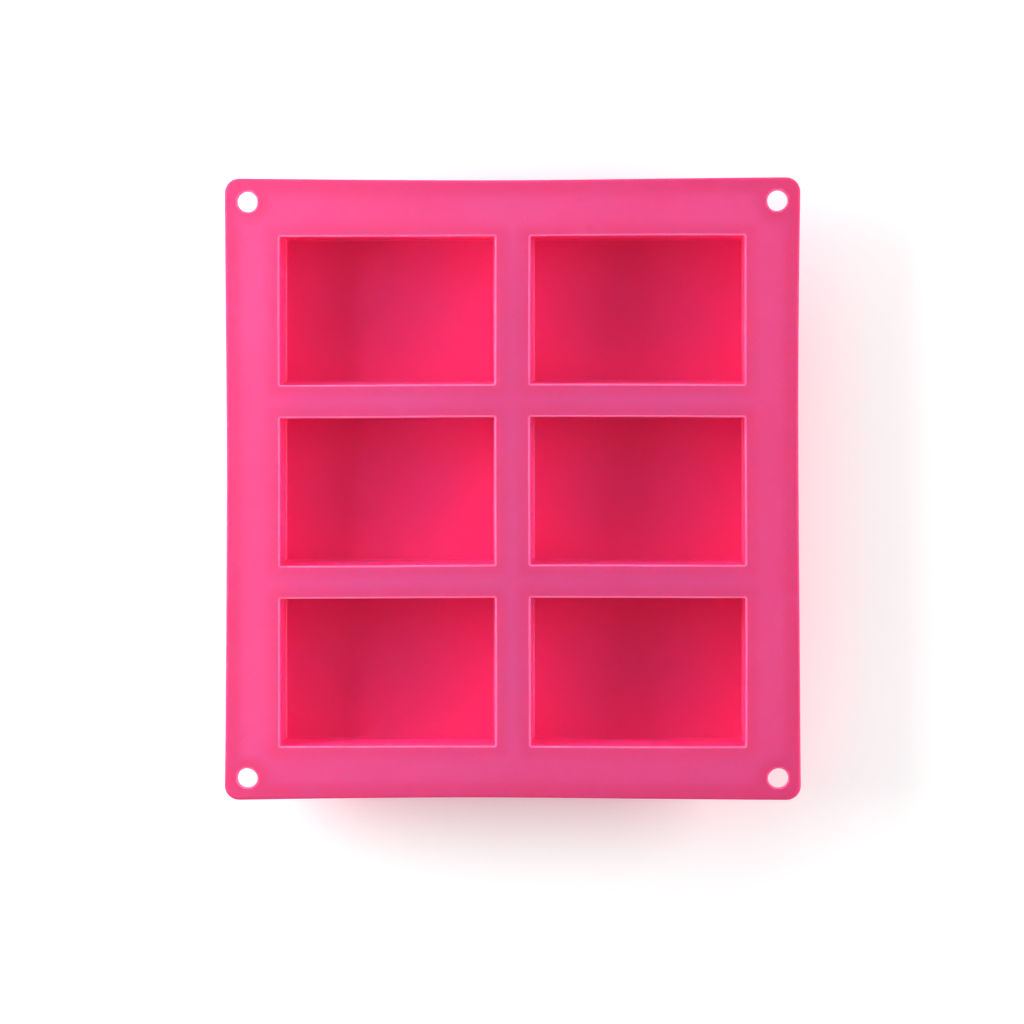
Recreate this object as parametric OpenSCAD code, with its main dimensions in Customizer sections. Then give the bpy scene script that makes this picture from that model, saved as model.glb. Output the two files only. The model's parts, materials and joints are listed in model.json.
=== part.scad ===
// Six-cavity silicone mould for bars of soap, standing on its pockets with the cavities open upwards.
// Millimetres, +Z up. The origin is the centre of the plane that the six pocket bases stand on.

/* [Flange] */
// Width of the flange, left to right
flange_w = 218; // [208:1:240]
// Length of the flange, front to rear
flange_l = 235; // [230:1:260]
// Thickness of the sheet that joins the pockets
sheet_t = 2; // [1.5:0.1:3]
// Plan radius of the flange's outer corners
corner_r = 5.5; // [3:0.5:7]

/* [Rim] */
// Width of the band that stiffens the flange's edge
rim_w = 4.4; // [3:0.1:6]
// How far the band stands below the sheet
rim_drop = 1.8; // [1:0.1:3]
// Width of the slope from the band up to the sheet
rim_slope = 1.4; // [0.5:0.1:2]
// Radius of the flange's outer edge, above and below
edge_round = 0.9; // [0.3:0.1:1.4]

/* [Corner eyelets] */
// Diameter of the hanging hole in each corner
hole_d = 7.6; // [5:0.2:10]
// Distance from each hole's centre to both edges of the flange
hole_inset = 8.6; // [8.2:0.1:9.4]
// Radius of the thick pad round each hole
pad_r = 8; // [7:0.1:8.2]

/* [Pockets] */
// Length of a cavity at its mouth, left to right
mouth_w = 81.4; // [60:0.1:86]
// Width of a cavity at its mouth, front to rear
mouth_l = 55.8; // [40:0.1:60]
// Depth of a cavity
cavity_depth = 25; // [15:1:45]
// How far each wall leans out between the floor and the mouth
draft = 0.6; // [0.3:0.05:2]
// Thickness of the pocket walls
wall_t = 2.1; // [1.5:0.1:3]
// Thickness of the pocket floors
floor_t = 2; // [1.5:0.1:3]
// Distance between the centres of the two columns
pitch_w = 94.8; // [90.5:0.1:96]
// Distance between the centres of the three rows
pitch_l = 68.3; // [64.5:0.1:69.5]
// Radius of a pocket's upright outer corners at the base
pocket_corner_r = 2; // [1.2:0.1:6]
// Radius of the round under a pocket's base edge
base_round = 1; // [0.3:0.1:1.1]

/* [Hidden] */
$fn = 64;

// Directions: left and front are the low ends of X and Y.
LEFT = -1;
RIGHT = 1;
FRONT = -1;
MIDDLE = 0;
REAR = 1;

silicone = "hotpink";
// How far a cutting shape reaches past the face it cuts
over = 1;
// Strip of plain sheet between the foot of a pad and the inner sides of its eyelet
pad_margin = 0.2;

// Heights of the flange's upper face, of the sheet's underside and of the rim's underside
top_z = floor_t + cavity_depth;
sheet_z = top_z - sheet_t;
rim_z = sheet_z - rim_drop;

// Width of the rim with its slope, and side of the square of flange that an eyelet takes up
rim_band = rim_w + rim_slope;
eyelet_side = hole_inset + pad_r + rim_slope + pad_margin;

// Outer size of a pocket where it meets the sheet, with its corner radius there
pocket_w = mouth_w + 2 * wall_t;
pocket_l = mouth_l + 2 * wall_t;
collar_r = pocket_corner_r + draft;

// ---- Pockets ----

// Rectangle with round corners, centred on the origin.
module rounded_rectangle(w, l, r) {
    square([w - 2 * r, l], center = true);
    square([w, l - 2 * r], center = true);
    for (x = [-1, 1], y = [-1, 1])
        translate([x * (w / 2 - r), y * (l / 2 - r)])
            circle(r);
}

// Half of a pocket's outer section, from an upright axis out to the wall: a round base edge,
// a wall that leans out by the draft up to the sheet, and an upright collar through the sheet.
// reach is the distance from the axis to the collar.
module pocket_section(reach) {
    wall_x = reach - draft * (1 - base_round / sheet_z);
    round_x = wall_x - base_round;
    polygon([
        [0, 0],
        [round_x, 0],
        [round_x, base_round],
        [wall_x, base_round],
        [reach, sheet_z],
        [reach, top_z],
        [0, top_z]
    ]);
    intersection() {
        translate([round_x, base_round])
            circle(base_round);
        translate([round_x, 0])
            square(base_round);
    }
}

// The section and its mirror image, drawn out over a straight run along Y.
module pocket_run(width, run) {
    rotate([90, 0, 0])
        linear_extrude(run, center = true)
            for (side = [LEFT, RIGHT])
                mirror([side == LEFT ? 1 : 0, 0])
                    pocket_section(width / 2);
}

// Solid outer shape of a pocket: two crossing runs, and a turned corner in each of the four gaps.
module pocket_body() {
    corner_x = pocket_w / 2 - collar_r;
    corner_y = pocket_l / 2 - collar_r;
    pocket_run(pocket_w, 2 * corner_y);
    rotate([0, 0, 90])
        pocket_run(pocket_l, 2 * corner_x);
    for (quarter = [[1, 1, 0], [-1, 1, 90], [-1, -1, 180], [1, -1, 270]])
        translate([quarter[0] * corner_x, quarter[1] * corner_y, 0])
            rotate([0, 0, quarter[2]])
                rotate_extrude(angle = 90)
                    pocket_section(collar_r);
}

// Section of the cavity, drafted from the floor to above the mouth, drawn out along Y.
module cavity_run(width, run) {
    lean = draft / cavity_depth;
    floor_x = width / 2 - draft;
    mouth_x = width / 2 + lean * over;
    rotate([90, 0, 0])
        linear_extrude(run + 2 * over, center = true)
            polygon([
                [-floor_x, floor_t],
                [floor_x, floor_t],
                [mouth_x, top_z + over],
                [-mouth_x, top_z + over]
            ]);
}

// The space that a bar of soap fills, with crisp corners.
module cavity() {
    intersection() {
        cavity_run(mouth_w, mouth_l);
        rotate([0, 0, 90])
            cavity_run(mouth_l, mouth_w);
    }
}

module pocket(column, row) {
    color(silicone)
        translate([column * pitch_w / 2, row * pitch_l, 0])
            difference() {
                pocket_body();
                cavity();
            }
}

// ---- Flange ----

// Section of the rim: distance in from the flange's edge along X, height along Y.
module rim_section() {
    difference() {
        polygon([
            [0, rim_z],
            [rim_w, rim_z],
            [rim_band, sheet_z],
            [rim_band, top_z],
            [0, top_z]
        ]);
        edge_cut(rim_z, 0);
        edge_cut(top_z, 1);
    }
}

// What rounding takes off the flange's edge at height z: upside is 1 for the upper edge.
module edge_cut(z, upside) {
    translate([0, z])
        mirror([0, upside])
            difference() {
                translate([-over, -over])
                    square(edge_round + over);
                translate([edge_round, edge_round])
                    circle(edge_round);
            }
}

// Straight stretch of rim along X, with its outer edge on the X axis and its inside towards +Y.
module rim_run(run) {
    rotate([90, 0, 90])
        linear_extrude(run, center = true)
            rim_section();
}

module rim_front_or_rear(row) {
    color(silicone)
        mirror([0, row == REAR ? 1 : 0, 0])
            translate([0, -flange_l / 2, 0])
                rim_run(flange_w - 2 * eyelet_side);
}

module rim_left_or_right(column) {
    color(silicone)
        mirror([column == LEFT ? 1 : 0, 0, 0])
            translate([flange_w / 2, 0, 0])
                rotate([0, 0, 90])
                    rim_run(flange_l - 2 * eyelet_side);
}

// Rim round the flange's corner, whose sharp point would be at the origin, with the flange
// towards +X and +Y: a quarter turn, and a straight stretch each way to the eyelet's far sides.
module corner_rim() {
    straight = eyelet_side - corner_r;
    translate([corner_r, corner_r, 0])
        rotate([0, 0, 180])
            rotate_extrude(angle = 90)
                intersection() {
                    translate([corner_r, 0])
                        mirror([1, 0])
                            rim_section();
                    square([corner_r, top_z]);
                }
    translate([corner_r + straight / 2, 0, 0])
        rim_run(straight);
    mirror([1, -1, 0])
        translate([corner_r + straight / 2, 0, 0])
            rim_run(straight);
}

// Thick disc round a hanging hole, with the same slope up to the sheet as the rim has.
module pad() {
    translate([hole_inset, hole_inset, rim_z])
        cylinder(h = rim_drop, r1 = pad_r, r2 = pad_r + rim_slope);
    translate([hole_inset, hole_inset, sheet_z])
        cylinder(h = sheet_t, r = pad_r);
}

// The pad and the sheet round it, kept inside the round of the flange's outer edge.
module eyelet_filling() {
    sheet_side = eyelet_side - corner_r;
    inner_side = eyelet_side - edge_round;
    intersection() {
        union() {
            pad();
            translate([corner_r, corner_r, sheet_z])
                cube([sheet_side, sheet_side, sheet_t]);
        }
        translate([edge_round, edge_round, rim_z])
            cube([inner_side, inner_side, top_z - rim_z]);
    }
}

// Corner of the flange with its thick pad and its hanging hole.
module eyelet(column, row) {
    color(silicone)
        mirror([column == RIGHT ? 1 : 0, 0, 0])
            mirror([0, row == REAR ? 1 : 0, 0])
                translate([-flange_w / 2, -flange_l / 2, 0])
                    difference() {
                        union() {
                            corner_rim();
                            eyelet_filling();
                        }
                        translate([hole_inset, hole_inset, rim_z - over])
                            cylinder(h = top_z - rim_z + 2 * over, d = hole_d);
                    }
}

module web_sheet() {
    color(silicone)
        translate([0, 0, sheet_z])
            linear_extrude(sheet_t)
                difference() {
                    square([flange_w - 2 * rim_band, flange_l - 2 * rim_band], center = true);
                    for (column = [LEFT, RIGHT], row = [FRONT, REAR])
                        translate([column * flange_w / 2, row * flange_l / 2])
                            square(2 * eyelet_side, center = true);
                    for (column = [LEFT, RIGHT], row = [FRONT, MIDDLE, REAR])
                        translate([column * pitch_w / 2, row * pitch_l])
                            rounded_rectangle(pocket_w, pocket_l, collar_r);
                }
}

web_sheet();
rim_front_or_rear(FRONT);  // rim_front
rim_front_or_rear(REAR);  // rim_rear
rim_left_or_right(LEFT);  // rim_left
rim_left_or_right(RIGHT);  // rim_right
eyelet(LEFT, FRONT);  // eyelet_front_left
eyelet(RIGHT, FRONT);  // eyelet_front_right
eyelet(LEFT, REAR);  // eyelet_rear_left
eyelet(RIGHT, REAR);  // eyelet_rear_right
pocket(LEFT, FRONT);  // pocket_front_left
pocket(RIGHT, FRONT);  // pocket_front_right
pocket(LEFT, MIDDLE);  // pocket_middle_left
pocket(RIGHT, MIDDLE);  // pocket_middle_right
pocket(LEFT, REAR);  // pocket_rear_left
pocket(RIGHT, REAR);  // pocket_rear_right
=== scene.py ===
"""Looks of a pink silicone mould for six bars of soap.

The CAD holds the mould as fifteen regions. The real one is a single moulding, so here one closed
skin with rounded edges stands for all of them. It is built from rings of points: a stack of rings
makes each pocket, each hanging hole and the flange's edge, and flat faces fill in between.
"""

import json
import math

import bmesh
import bpy
import numpy as np
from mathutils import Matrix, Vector, geometry, noise


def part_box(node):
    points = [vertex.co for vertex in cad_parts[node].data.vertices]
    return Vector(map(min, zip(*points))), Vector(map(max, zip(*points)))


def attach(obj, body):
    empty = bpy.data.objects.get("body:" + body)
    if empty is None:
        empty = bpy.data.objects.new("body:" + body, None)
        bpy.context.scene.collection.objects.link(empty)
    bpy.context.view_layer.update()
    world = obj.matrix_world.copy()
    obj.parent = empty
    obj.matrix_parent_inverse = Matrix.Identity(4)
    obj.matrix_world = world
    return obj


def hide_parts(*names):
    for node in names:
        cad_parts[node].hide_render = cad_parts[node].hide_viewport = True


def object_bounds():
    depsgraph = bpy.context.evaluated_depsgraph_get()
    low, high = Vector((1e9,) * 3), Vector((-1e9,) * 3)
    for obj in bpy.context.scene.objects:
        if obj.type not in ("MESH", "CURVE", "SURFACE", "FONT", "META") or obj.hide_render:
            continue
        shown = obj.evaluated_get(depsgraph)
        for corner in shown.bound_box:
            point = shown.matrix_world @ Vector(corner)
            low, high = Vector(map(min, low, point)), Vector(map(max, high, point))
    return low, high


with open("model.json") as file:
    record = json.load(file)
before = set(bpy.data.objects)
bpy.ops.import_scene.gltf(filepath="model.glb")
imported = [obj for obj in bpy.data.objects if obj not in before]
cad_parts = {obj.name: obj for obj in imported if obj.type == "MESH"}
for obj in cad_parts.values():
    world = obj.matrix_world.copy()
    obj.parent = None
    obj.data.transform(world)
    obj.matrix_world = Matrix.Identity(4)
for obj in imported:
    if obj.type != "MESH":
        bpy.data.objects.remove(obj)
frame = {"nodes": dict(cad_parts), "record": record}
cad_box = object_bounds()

MM = 0.001

# ---- Sizes from the frame ----

RECORD = frame["record"]
POCKETS = sorted(name for name in frame["nodes"] if name.startswith("pocket_"))
HOLES = [mount for mount in RECORD["mounts"] if mount["kind"] == "bore"]

LOW, HIGH = (Vector(corner) for corner in cad_box)
HALF_W, HALF_L = (HIGH.x - LOW.x) / 2, (HIGH.y - LOW.y) / 2
TOP_Z = HIGH.z
SHEET_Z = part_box("web_sheet")[0].z
RIM_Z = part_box("rim_front")[0].z
RIM_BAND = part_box("rim_front")[1].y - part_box("rim_front")[0].y
HOLE_R = HOLES[0]["dims"]["r_mm"] * MM
HOLE_INSET = HALF_W - abs(HOLES[0]["pos_m"][0])

# ---- Sizes that the frame's boxes don't give ----

CORNER_R = 5.5 * MM
RIM_SLOPE = 1.4 * MM
PAD_R = 8.0 * MM
WALL_T = 2.1 * MM
FLOOR_T = 2.0 * MM
DRAFT = 0.6 * MM

# ---- Rounding of edges ----

EDGE_ROUND = 1.0 * MM
LIP_ROUND = 0.5 * MM
HOLE_ROUND = 0.6 * MM
FLOOR_FILLET = 0.8 * MM
BASE_ROUND = 1.0 * MM
ROOT_FILLET = 1.0 * MM
PAD_FILLET = 2.3 * MM
MOUTH_CORNER_R = 0.45 * MM
CRISP_CORNER_R = 0.45 * MM
COLLAR_CORNER_R = 2.6 * MM

# ---- Mesh density ----

TIGHT = 0.3 * MM  # between an edge and the extra points that keep it crisp
SIDE_STEP = 4.0 * MM  # along straight sides and up walls
FLAT_STEP = 4.5 * MM  # across the pockets' floors and bases
FINE_STEP = 2.2 * MM  # across the flange's faces
ROUND_STEPS = 6  # in a quarter turn
WELD = 1e-9  # points closer than this, in metres, are one


# ==== Rings: closed lists of (x, y), anticlockwise, all of one length within a stack ====


def arc(centre, radius, start, end, steps=ROUND_STEPS):
    """Points along an arc, both ends included, with angles in degrees."""
    angles = np.radians(np.linspace(start, end, steps + 1))
    return [(centre[0] + radius * math.cos(a), centre[1] + radius * math.sin(a)) for a in angles]


def side_stops(length):
    """Where a straight side is divided, as shares of its length: close to both ends, evenly between."""
    close = TIGHT / length
    count = max(2, round(length / SIDE_STEP))
    return [close, *np.linspace(0, 1, count + 1)[1:-1], 1 - close]


def joined(corners, stops):
    """A ring from its four corners' points, with each side between two corners divided at its stops."""
    ring = []
    for i, corner in enumerate(corners):
        start, end = np.array(corner[-1]), np.array(corners[(i + 1) % 4][0])
        ring += corner
        ring += [tuple(start + (end - start) * share) for share in stops[i % 2]]
    return ring


def round_rectangle(centre, half_x, half_y, radius, stops):
    """A ring round a rectangle with round corners. stops are those of the rear and of the left side."""
    corners = []
    for start, sx, sy in ((0, 1, 1), (90, -1, 1), (180, -1, -1), (270, 1, -1)):
        middle = (centre[0] + sx * (half_x - radius), centre[1] + sy * (half_y - radius))
        corners.append(arc(middle, radius, start, start + 90))
    return joined(corners, stops)


def circle(centre, radius, count=48):
    return arc(centre, radius, 0, 360 * (count - 1) / count, count - 1)


FLANGE_STOPS = (side_stops(2 * HALF_W), side_stops(2 * HALF_L))


def edge_ring(inset):
    """The flange's outline, moved inwards."""
    radius = CORNER_R - inset
    return round_rectangle((0, 0), HALF_W - inset, HALF_L - inset, radius, FLANGE_STOPS)


def crest_ring(offset):
    """Inner outline of the thick rim, moved inwards. It goes round the pads of the hanging holes."""
    line = RIM_BAND - RIM_SLOPE + offset - HOLE_INSET
    pad = PAD_R + offset
    fillet = PAD_FILLET - offset
    # One corner, measured inwards from the hole's centre: a fillet, the pad's arc, and a fillet.
    u = line + fillet
    v = math.sqrt((pad + fillet) ** 2 - u**2)
    turn = math.degrees(math.atan2(v, u))
    corner = arc((u, v), fillet, 180, 180 + turn)
    corner += arc((0, 0), pad, turn, 90 - turn, 2 * ROUND_STEPS)[1:-1]
    corner += arc((v, u), fillet, 270 - turn, 270)
    corners = []
    for sx, sy in ((1, 1), (-1, 1), (-1, -1), (1, -1)):
        points = [
            (sx * (HALF_W - HOLE_INSET - x), sy * (HALF_L - HOLE_INSET - y)) for x, y in corner
        ]
        corners.append(points if sx * sy > 0 else points[::-1])
    return joined(corners, FLANGE_STOPS)


# ==== Profiles: lists of (offset, z) that a stack of rings follows ====


def straight(start, end, step=SIDE_STEP):
    """Points inside a straight stretch of a profile, close to both ends and evenly between."""
    start, end = np.array(start), np.array(end)
    length = np.linalg.norm(end - start)
    close = min(TIGHT / length, 0.25)
    inner = np.linspace(0, 1, max(2, round(length / step)) + 1)[1:-1]
    return [tuple(start + (end - start) * share) for share in (close, *inner, 1 - close)]


def edge_profile():
    """The flange's edge, from its upper face round to the rim's underside, as insets."""
    upper = arc((EDGE_ROUND, TOP_Z - EDGE_ROUND), EDGE_ROUND, 90, 180)
    lower = arc((EDGE_ROUND, RIM_Z + EDGE_ROUND), EDGE_ROUND, 180, 270)
    profile = [(EDGE_ROUND + TIGHT, TOP_Z), *upper, *straight(upper[-1], lower[0]), *lower]
    return [*profile, (EDGE_ROUND + TIGHT, RIM_Z)]


def slope_profile():
    """From the rim's underside up to the sheet's underside: a smooth S."""
    shares = np.linspace(0, 1, 2 * ROUND_STEPS + 1)
    curve = [(RIM_SLOPE * t, RIM_Z + (SHEET_Z - RIM_Z) * t * t * (3 - 2 * t)) for t in shares]
    return [(-TIGHT, RIM_Z), *curve, (RIM_SLOPE + TIGHT, SHEET_Z)]


def hole_profile():
    """A hanging hole from top to bottom, as radii beyond the bore's."""
    upper = arc((HOLE_ROUND, TOP_Z - HOLE_ROUND), HOLE_ROUND, 90, 180)
    lower = arc((HOLE_ROUND, RIM_Z + HOLE_ROUND), HOLE_ROUND, 180, 270)
    profile = [(HOLE_ROUND + TIGHT, TOP_Z), *upper, *straight(upper[-1], lower[0]), *lower]
    return [*profile, (HOLE_ROUND + TIGHT, RIM_Z)]


def cavity_profile():
    """A cavity from its lip down to its floor, as insets from the mouth."""
    lean = math.degrees(math.atan2(DRAFT, TOP_Z - FLOOR_T))
    lip = arc((-LIP_ROUND, TOP_Z - LIP_ROUND), LIP_ROUND, 90, lean)
    fillet_x = DRAFT + FLOOR_FILLET
    fillet = arc((fillet_x, FLOOR_T + FLOOR_FILLET), FLOOR_FILLET, 180 + lean, 270)
    profile = [(-LIP_ROUND - TIGHT, TOP_Z), *lip, *straight(lip[-1], fillet[0]), *fillet]
    return [*profile, (fillet_x + TIGHT, FLOOR_T)]


def pocket_profile():
    """A pocket's outside from the sheet down to its base, as insets from its collar."""
    lean = math.degrees(math.atan2(DRAFT, SHEET_Z))
    root = arc((-ROOT_FILLET, SHEET_Z - ROOT_FILLET), ROOT_FILLET, 90, lean)
    base_x = DRAFT + BASE_ROUND
    base = arc((base_x, BASE_ROUND), BASE_ROUND, 180 + lean, 270)
    profile = [(-ROOT_FILLET - TIGHT, SHEET_Z), *root, *straight(root[-1], base[0]), *base]
    return [*profile, (base_x + TIGHT, 0)]


# ==== The skin ====


def inside(points, ring):
    """Which of the points lie within a ring, by counting its edges to the right of each."""
    x, y = points[:, :1], points[:, 1:]
    a, b = ring, np.roll(ring, -1, axis=0)
    spans = (a[:, 1] > y) != (b[:, 1] > y)
    rise = np.where(b[:, 1] == a[:, 1], 1, b[:, 1] - a[:, 1])
    crossing = a[:, 0] + (y - a[:, 1]) / rise * (b[:, 0] - a[:, 0])
    return (spans & (crossing > x)).sum(1) % 2 == 1


def within(points, loops):
    """Which of the points lie within the first loop and outside the others."""
    return inside(points, loops[0]) & ~np.any([inside(points, hole) for hole in loops[1:]], axis=0)


def min_gap(points, loops):
    """How far each point is from the nearest edge of any loop."""
    a = np.concatenate(loops)
    along = np.concatenate([np.roll(loop, -1, axis=0) for loop in loops]) - a
    share = ((points[:, None] - a) * along).sum(2) / (along**2).sum(1)
    nearest = a + np.clip(share, 0, 1)[..., None] * along
    return np.linalg.norm(points[:, None] - nearest, axis=2).min(1)


def triangular_grid(low, high, step):
    columns = np.arange(low[0], high[0], step)
    rows = np.arange(low[1], high[1], step * math.sqrt(3) / 2)
    return np.array([(x + step / 2 * (j % 2), y) for j, y in enumerate(rows) for x in columns])


class Skin:
    """Vertices and faces of one closed mesh, added ring by ring."""

    def __init__(self):
        self.vertices = []
        self.faces = []

    def ring(self, points, z):
        start = len(self.vertices)
        self.vertices += [(x, y, z) for x, y in points]
        return list(range(start, len(self.vertices)))

    def stack(self, rings):
        """Joins rings, given as (points, z), with bands of quads. Returns the first and the last."""
        made = [self.ring(points, z) for points, z in rings]
        for one, other in zip(made, made[1:]):
            for i in range(len(one)):
                j = (i + 1) % len(one)
                self.faces.append((one[i], one[j], other[j], other[i]))
        return made[0], made[-1]

    def flat(self, outline, holes=(), step=FLAT_STEP):
        """Fills the flat face within a ring, around the rings of its holes, with even triangles."""
        rings = [outline, *holes]
        loops = [np.array([self.vertices[i][:2] for i in ring]) for ring in rings]
        border = np.concatenate(loops)
        grid = triangular_grid(border.min(0), border.max(0), step)
        grid = grid[within(grid, loops)]
        grid = grid[min_gap(grid, loops) > 0.5 * step]
        known = [i for ring in rings for i in ring]
        known += self.ring([tuple(point) for point in grid], self.vertices[outline[0]][2])
        edges, start = [], 0
        for ring in rings:
            edges += [(start + i, start + (i + 1) % len(ring)) for i in range(len(ring))]
            start += len(ring)
        points = [Vector(point) for point in np.concatenate([border, grid])]
        corners, _, triangles, sources, *_ = geometry.delaunay_2d_cdt(points, edges, [], 0, WELD)
        centres = np.array([tuple(v) for v in corners])[np.array(triangles)].mean(1)
        for triangle, kept in zip(triangles, within(centres, loops)):
            if kept:
                self.faces.append(tuple(known[sources[i][0]] for i in triangle))


def moulding():
    """The whole mould as one mesh."""
    skin = Skin()
    top_holes, web_holes, pad_holes = [], [], []
    for name in POCKETS:
        low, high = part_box(name)
        centre = ((low.x + high.x) / 2, (low.y + high.y) / 2)
        half_x, half_y = (high.x - low.x) / 2, (high.y - low.y) / 2
        stops = (side_stops(2 * half_x), side_stops(2 * half_y))

        def cavity_ring(inset):
            radius = max(CRISP_CORNER_R, MOUTH_CORNER_R - inset)
            reach = WALL_T + inset
            return round_rectangle(centre, half_x - reach, half_y - reach, radius, stops)

        def pocket_ring(inset):
            radius = max(CRISP_CORNER_R, COLLAR_CORNER_R - inset)
            return round_rectangle(centre, half_x - inset, half_y - inset, radius, stops)

        mouth, floor = skin.stack([(cavity_ring(x), z) for x, z in cavity_profile()])
        root, base = skin.stack([(pocket_ring(x), z) for x, z in pocket_profile()])
        skin.flat(floor)
        skin.flat(base)
        top_holes.append(mouth)
        web_holes.append(root)
    for hole in HOLES:
        rings = [(circle(hole["pos_m"], HOLE_R + x), z) for x, z in hole_profile()]
        upper, lower = skin.stack(rings)
        top_holes.append(upper)
        pad_holes.append(lower)
    upper_edge, lower_edge = skin.stack([(edge_ring(x), z) for x, z in edge_profile()])
    crest, foot = skin.stack([(crest_ring(x), z) for x, z in slope_profile()])
    skin.flat(upper_edge, top_holes, step=FINE_STEP)
    skin.flat(lower_edge, [crest, *pad_holes], step=FINE_STEP)
    skin.flat(foot, web_holes, step=FINE_STEP)
    return skin


# ==== Softness: the slight bends that a silicone sheet takes as it stands ====

BOW = 0.8 * MM  # how far the middle of each side is drawn in
DROOP = 0.7 * MM  # about how far the flange's edge dips at most
WAVE = 0.25 * MM  # scale of the sheet's waves up and down
SWAY = 0.7 * MM  # scale of the mouths' wandering sideways
LEAN = 0.9 * MM  # how far the mouths sit in front of the bases
WAVE_LENGTH = 120 * MM


def smooth(value, start, end):
    t = np.clip((value - start) / (end - start), 0, 1)
    return t * t * (3 - 2 * t)


def relaxed(points):
    """The moulded shape, with its sides drawn in a little, its flange dipping and waving, and its
    pockets leaning to the front."""
    x, y, z = points.T.copy()
    boxes = [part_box(name) for name in POCKETS]
    reach_x = max(high.x for low, high in boxes)
    reach_y = max(high.y for low, high in boxes)
    out_x = smooth(abs(x), reach_x, HALF_W)
    out_y = smooth(abs(y), reach_y, HALF_L)
    x -= np.sign(x) * BOW * out_x * (1 - (y / HALF_L) ** 2)
    y -= np.sign(y) * BOW * out_y * (1 - (x / HALF_W) ** 2)
    wave, sway_x, sway_y = (
        np.array([noise.noise(Vector((px, py, layer)) / WAVE_LENGTH) for px, py in points[:, :2]])
        for layer in (0, 1, 2)
    )
    height = smooth(z, FLOOR_T, TOP_Z)
    outward = np.maximum(out_x, out_y)
    z -= outward * DROOP * (0.5 + wave)
    z += WAVE * wave * height
    x += SWAY * sway_x * height
    y += (SWAY * sway_y - LEAN * (1 - outward)) * height
    return np.stack([x, y, z], axis=1)


# ==== Zones: shares from 0 to 1 at each point, which the material reads ====

THICK_BLUR = 2.2 * MM  # how far a thick part's darker painted colour, standing in for less light shining through, spreads into the sheet
WALL_SHARE = 0.8  # how thick a pocket's wall counts as for that painted darkening, beside the rim
HOLE_LIP_SHARE = 0.7  # how strongly the painted highlight shows on a hole's round, beside a mouth's


def box_gap(points, centre, half_x, half_y):
    """How far each point is outside a rectangle. It is negative inside."""
    away = abs(points[:, :2] - centre) - (half_x, half_y)
    return np.linalg.norm(np.maximum(away, 0), axis=1) + np.minimum(away.max(1), 0)


def zones(points):
    """What share of each zone every point has.

    thick: the rim, the pads and the pocket walls, painted darker than the thin sheet, which is painted
    paler as if lit through from below. polished: the cavities' walls and floors.
    lip: the rounds of the mouths and holes, where a highlight is painted. deep: the cavities, and the
    channels between pockets, where a redder shade is painted.
    """
    polished, lip = np.zeros(len(points)), np.zeros(len(points))
    height = points[:, 2]
    inset = -box_gap(points, (0, 0), HALF_W, HALF_L)
    # Painted light: the rim and pads count as thick, so the thinner sheet around them is painted paler,
    # as if lit through from below.
    thick = 1 - smooth(inset, RIM_BAND - THICK_BLUR, RIM_BAND + THICK_BLUR)
    for hole in HOLES:
        away = np.linalg.norm(points[:, :2] - hole["pos_m"][:2], axis=1)
        thick = np.maximum(thick, 1 - smooth(away, PAD_R - THICK_BLUR, PAD_R + THICK_BLUR))
        # Painted highlight: the round at the top of each hanging hole.
        on_round = (away < HOLE_R + HOLE_ROUND) & (height > SHEET_Z)
        lip = np.maximum(lip, HOLE_LIP_SHARE * on_round)
    # Painted shade: the channels between pockets, on the underside.
    deep = smooth(height, BASE_ROUND, 4 * BASE_ROUND) * (height < SHEET_Z + TIGHT) * (1 - thick)
    for name in POCKETS:
        low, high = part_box(name)
        half_x, half_y = (high.x - low.x) / 2, (high.y - low.y) / 2
        centre = (low.xy + high.xy) / 2
        gap = box_gap(points, centre, half_x, half_y)
        thick = np.maximum(thick, WALL_SHARE * (1 - smooth(gap, -TIGHT, 2 * THICK_BLUR)))
        inner = WALL_T + MOUTH_CORNER_R
        from_mouth = box_gap(points, centre, half_x - inner, half_y - inner) - MOUTH_CORNER_R
        depth = TOP_Z - height
        in_cavity = (from_mouth < LIP_ROUND / 2) & (height > FLOOR_T / 2)
        polished = np.maximum(polished, in_cavity * smooth(depth, 0, LIP_ROUND))
        # Painted highlight: the round of each mouth.
        on_lip = (from_mouth < LIP_ROUND + TIGHT / 2) & (depth < LIP_ROUND)
        lip = np.maximum(lip, on_lip)
    # Painted shade also covers the cavities.
    deep = np.maximum(deep, polished)
    return {"thick": thick, "polished": polished, "lip": lip, "deep": deep}


# ==== Materials ====


def new_material(name):
    """A material with a Principled shader. Returns it, its node tree and the shader."""
    material = bpy.data.materials.new(name)
    material.use_nodes = True
    tree = material.node_tree
    return material, tree, tree.nodes["Principled BSDF"]


def noise_texture(tree, scale, detail=3.0, roughness=0.5, distortion=0.0):
    """Noise in the row frame; scale is in cycles per metre. Returns its value socket."""
    where = tree.nodes.new("ShaderNodeTexCoord")
    texture = tree.nodes.new("ShaderNodeTexNoise")
    texture.inputs["Scale"].default_value = scale
    texture.inputs["Detail"].default_value = detail
    texture.inputs["Roughness"].default_value = roughness
    texture.inputs["Distortion"].default_value = distortion
    tree.links.new(where.outputs["Object"], texture.inputs["Vector"])
    return texture.outputs["Fac"]


def remap(tree, value, low, high, to_low, to_high):
    """A value's range from low to high, taken to another range and held there."""
    node = tree.nodes.new("ShaderNodeMapRange")
    for socket, number in zip(node.inputs[1:5], (low, high, to_low, to_high)):
        socket.default_value = number
    tree.links.new(value, node.inputs[0])
    return node.outputs[0]


def mixed(tree, share, first, second):
    """Two colours mixed by a value. Each is a colour or a socket."""
    node = tree.nodes.new("ShaderNodeMix")
    node.data_type = "RGBA"
    tree.links.new(share, node.inputs["Factor"])
    for socket, colour in zip(node.inputs[6:8], (first, second)):
        if isinstance(colour, bpy.types.NodeSocket):
            tree.links.new(colour, socket)
        else:
            socket.default_value = (*colour, 1)
    return node.outputs[2]


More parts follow.
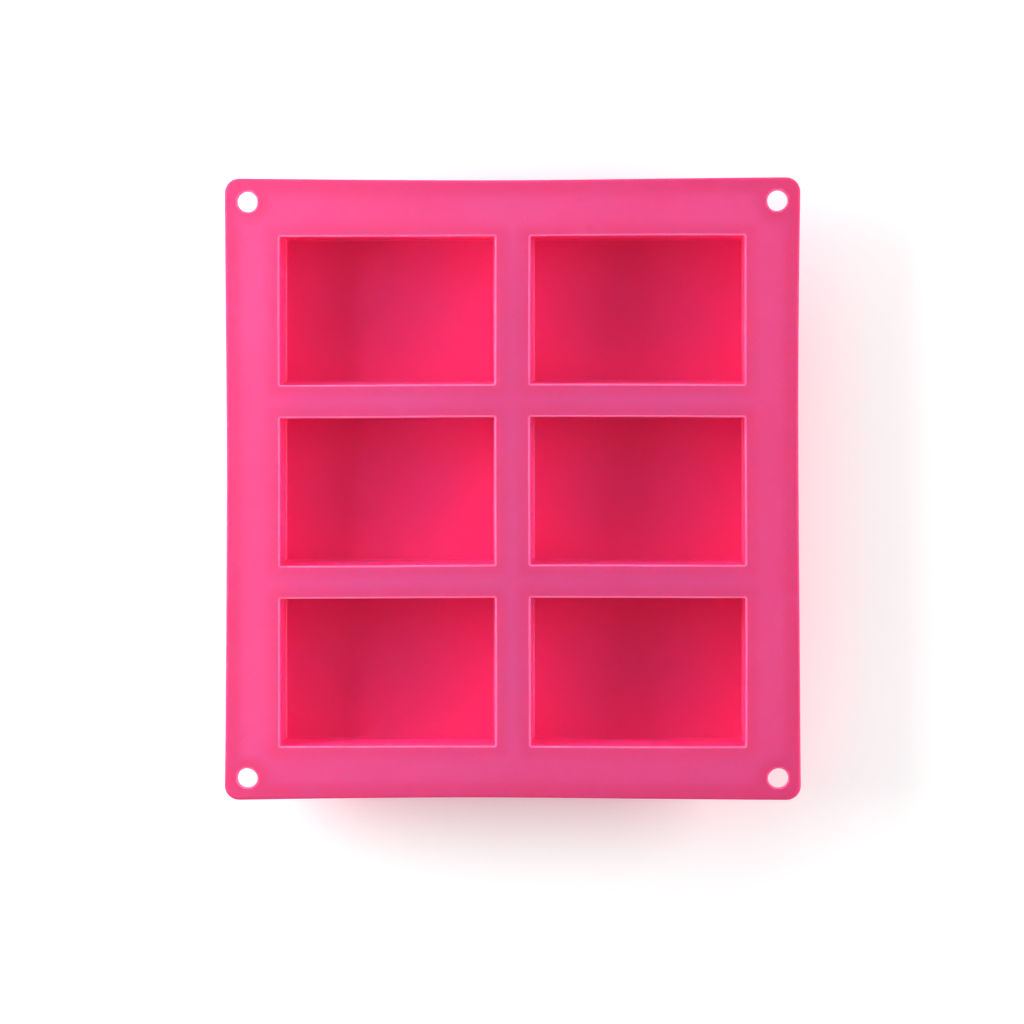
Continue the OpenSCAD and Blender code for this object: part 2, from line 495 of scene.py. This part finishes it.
def bumps(tree, layers):
    """Stacks bump layers, each a height socket and its depth in metres. Returns a normal socket."""
    normal = None
    for height, depth in layers:
        node = tree.nodes.new("ShaderNodeBump")
        node.inputs["Distance"].default_value = depth
        tree.links.new(height, node.inputs["Height"])
        if normal:
            tree.links.new(normal, node.inputs["Normal"])
        normal = node.outputs["Normal"]
    return normal


# Colours: of thick silicone; of the thin sheet, painted paler as if lit through from below; the painted
# shade of the hollows; the painted highlight along the lips; and of dust
# The two outer pinks are paler than the hollows' pink, in part a painted whitish sheen on the outer
# faces.
PINK = (0.70, 0.048, 0.21)
PALE_PINK = (0.71, 0.077, 0.29)
# The painted shade colour of the cavities and channels, as light reddened by bouncing between walls
HOLLOW_SHADE_PINK = (0.94, 0.044, 0.24)
# The painted highlight colour along the lips
LIP_HIGHLIGHT_PINK = (0.96, 0.18, 0.42)
DUST = (0.85, 0.22, 0.42)

# Roughness ranges, outside and in the cavities
MATTE = (0.66, 0.78)
POLISHED = (0.34, 0.46)

# Sizes of the material's detail, in cycles per metre
CLOUDS = 22
STREAKS = 90
SMUDGES = 60
SPECKS = 1400
RIPPLES = 120
GRAIN = 3000


def zone(tree, name):
    """The share of a zone, as zones() worked it out, from the mesh. Returns its value socket."""
    node = tree.nodes.new("ShaderNodeAttribute")
    node.attribute_name = name
    return node.outputs["Fac"]


def silicone():
    """Satin silicone that light spreads in, with cloudy pigment, moulded grain, smudges and dust, and
    with painted light: a paler thin sheet, a redder painted shade in the hollows and painted highlights
    on the lips.
    """
    material, tree, shader = new_material("silicone")
    shader.inputs["IOR"].default_value = 1.41
    shader.inputs["Subsurface Weight"].default_value = 1.0
    shader.inputs["Subsurface Radius"].default_value = (1.0, 0.08, 0.14)
    shader.inputs["Subsurface Scale"].default_value = 4 * MM

    cloud = remap(tree, noise_texture(tree, CLOUDS, detail=4), 0.35, 0.65, 0, 0.5)
    streak = remap(tree, noise_texture(tree, STREAKS, detail=5, distortion=1.2), 0.5, 0.75, 0, 0.3)
    specks = remap(tree, noise_texture(tree, SPECKS, detail=1), 0.74, 0.8, 0, 0.4)
    # Painted light: the thin sheet is paler than the thick rim, pads and walls, as if lit through from
    # the table below.
    colour = mixed(tree, zone(tree, "thick"), PALE_PINK, PINK)
    colour = mixed(tree, cloud, colour, PINK)
    colour = mixed(tree, streak, colour, PALE_PINK)
    # Painted shade: the cavities and the channels between pockets turn a redder pink, as light does
    # after bouncing between walls. The outer faces' paler pinks stand in for a whitish sheen that these
    # hollows don't catch.
    colour = mixed(tree, zone(tree, "deep"), colour, HOLLOW_SHADE_PINK)
    # Painted highlight: a lighter pink along the rounds of the mouths and holes, where they catch the
    # light.
    colour = mixed(tree, zone(tree, "lip"), colour, LIP_HIGHLIGHT_PINK)
    colour = mixed(tree, specks, colour, DUST)
    tree.links.new(colour, shader.inputs["Base Color"])

    smudge = noise_texture(tree, SMUDGES, detail=6, distortion=0.8)
    rough = tree.nodes.new("ShaderNodeMix")
    tree.links.new(zone(tree, "polished"), rough.inputs["Factor"])
    tree.links.new(remap(tree, smudge, 0.35, 0.7, *MATTE), rough.inputs["A"])
    tree.links.new(remap(tree, smudge, 0.35, 0.7, *POLISHED), rough.inputs["B"])
    tree.links.new(rough.outputs["Result"], shader.inputs["Roughness"])

    ripple = noise_texture(tree, RIPPLES, detail=2)
    grain = noise_texture(tree, GRAIN, detail=2, roughness=0.6)
    normal = bumps(tree, [(ripple, 0.05 * MM), (grain, 0.012 * MM)])
    tree.links.new(normal, shader.inputs["Normal"])
    return material


TABLE_WHITES = ((0.93, 0.93, 0.93), (0.95, 0.95, 0.95))
TABLE_CLOUDS = 6  # cycles per metre
TABLE_GRAIN = 900  # cycles per metre
GLOW_NEAR = 0.18
GLOW_FAR = 0.6
GLOW_RISE = (0.12, 0.8)  # metres from the middle between which the glow grows


def light_table():
    """The matte white top that the mould stands on. It glows a little, and more so further out."""
    material, tree, shader = new_material("light_table")
    tone = remap(tree, noise_texture(tree, TABLE_CLOUDS, detail=5), 0.3, 0.7, 0, 1)
    colour = mixed(tree, tone, *TABLE_WHITES)
    tree.links.new(colour, shader.inputs["Base Color"])
    shader.inputs["Roughness"].default_value = 0.9
    shader.inputs["Specular IOR Level"].default_value = 0.2
    normal = bumps(tree, [(noise_texture(tree, TABLE_GRAIN, detail=3), 0.02 * MM)])
    tree.links.new(normal, shader.inputs["Normal"])

    where = tree.nodes.new("ShaderNodeTexCoord")
    distance = tree.nodes.new("ShaderNodeVectorMath")
    distance.operation = "LENGTH"
    tree.links.new(where.outputs["Object"], distance.inputs[0])
    glow = remap(tree, distance.outputs["Value"], *GLOW_RISE, GLOW_NEAR, GLOW_FAR)
    shader.inputs["Emission Color"].default_value = (1, 1, 1, 1)
    tree.links.new(glow, shader.inputs["Emission Strength"])
    return material


# ==== Objects ====


def new_object(name, vertices, faces, material):
    mesh = bpy.data.meshes.new(name)
    mesh.from_pydata([tuple(v) for v in vertices], [], faces)
    mesh.materials.append(material)
    mesh.validate()
    obj = bpy.data.objects.new(name, mesh)
    bpy.context.scene.collection.objects.link(obj)
    return obj


def face_outwards(mesh):
    """Turns every face outwards and shades the mesh smoothly."""
    build = bmesh.new()
    build.from_mesh(mesh)
    bmesh.ops.recalc_face_normals(build, faces=build.faces)
    open_edges = sum(not edge.is_manifold for edge in build.edges)
    if open_edges:
        raise ValueError(f"the skin has {open_edges} open edges")
    build.to_mesh(mesh)
    build.free()
    mesh.shade_smooth()


def add_mould():
    skin = moulding()
    moulded = np.array(skin.vertices)
    mould = new_object("silicone_moulding", relaxed(moulded), skin.faces, silicone())
    for name, shares in zones(moulded).items():
        layer = mould.data.attributes.new(name, "FLOAT", "POINT")
        layer.data.foreach_set("value", shares.astype(np.float32))
    face_outwards(mould.data)
    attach(mould, "root")
    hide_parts(*frame["nodes"])


FLOOR_R = 8.0
FLOOR_SIDES = 96


def add_floor():
    """A wide round table top under the mould."""
    rim = circle((0, 0), FLOOR_R, FLOOR_SIDES)
    faces = [(0, i, i % FLOOR_SIDES + 1) for i in range(1, FLOOR_SIDES + 1)]
    floor = new_object("floor", [(0, 0, 0), *[(x, y, 0) for x, y in rim]], faces, light_table())


# ==== Camera and light ====

LENS = 190  # mm
SENSOR = 36  # mm
FRAME_WIDTH = 0.3866  # metres that the picture takes in at the flange
LOOK_AT = Vector((0, -0.0088, TOP_Z))
CAMERA_ASIDE = 0.066  # metres to the right of that


def add_camera():
    """Far above and a little to the right, so that the cavities' left walls show as slivers."""
    data = bpy.data.cameras.new("camera")
    data.lens = LENS
    data.sensor_width = SENSOR
    camera = bpy.data.objects.new("camera", data)
    distance = FRAME_WIDTH * LENS / SENSOR
    camera.location = LOOK_AT + Vector((CAMERA_ASIDE, 0, distance))
    camera.rotation_euler = (0, math.atan2(CAMERA_ASIDE, distance), 0)
    bpy.context.scene.collection.objects.link(camera)
    bpy.context.scene.camera = camera


def add_softbox(name, azimuth, elevation, distance, width, height, power):
    """A large area light that faces the mould. Azimuth is anticlockwise from +X, in degrees."""
    data = bpy.data.lights.new(f"softbox_{name}", "AREA")
    data.shape = "RECTANGLE"
    data.size, data.size_y = width, height
    data.energy = power
    light = bpy.data.objects.new(data.name, data)
    a, e = math.radians(azimuth), math.radians(elevation)
    way = Vector((math.cos(a) * math.cos(e), math.sin(a) * math.cos(e), math.sin(e)))
    light.location = way * distance
    light.rotation_euler = way.to_track_quat("Z", "Y").to_euler()
    light.visible_camera = False
    bpy.context.scene.collection.objects.link(light)


HORIZON = (0.88, 0.88, 0.88)
ZENITH = (0.20, 0.20, 0.20)
SKY_RISE = (0.05, 0.6)  # heights on a sphere of radius 1 between which the surround darkens


def add_world():
    """A pale surround, bright at the horizon and dim overhead."""
    world = bpy.data.worlds.new("surround")
    world.use_nodes = True
    bpy.context.scene.world = world
    tree = world.node_tree
    where = tree.nodes.new("ShaderNodeTexCoord")
    split = tree.nodes.new("ShaderNodeSeparateXYZ")
    tree.links.new(where.outputs["Generated"], split.inputs[0])
    height = remap(tree, split.outputs["Z"], *SKY_RISE, 0, 1)
    colour = mixed(tree, height, HORIZON, ZENITH)
    tree.links.new(colour, tree.nodes["Background"].inputs["Color"])


def add_light():
    """Four low softboxes. The left one is close, so the flange is paler there; the front one is weak."""
    add_softbox("left", azimuth=168, elevation=26, distance=0.62, width=0.6, height=0.3, power=5)
    add_softbox("right", azimuth=5, elevation=24, distance=1.5, width=1.0, height=0.4, power=16.5)
    add_softbox("rear", azimuth=95, elevation=26, distance=1.5, width=1.2, height=0.4, power=6)
    add_softbox("front", azimuth=-90, elevation=20, distance=1.5, width=1.2, height=0.4, power=1.5)
    add_world()
    bpy.context.scene.view_settings.view_transform = "Standard"


add_camera()
add_mould()
add_floor()
add_light()
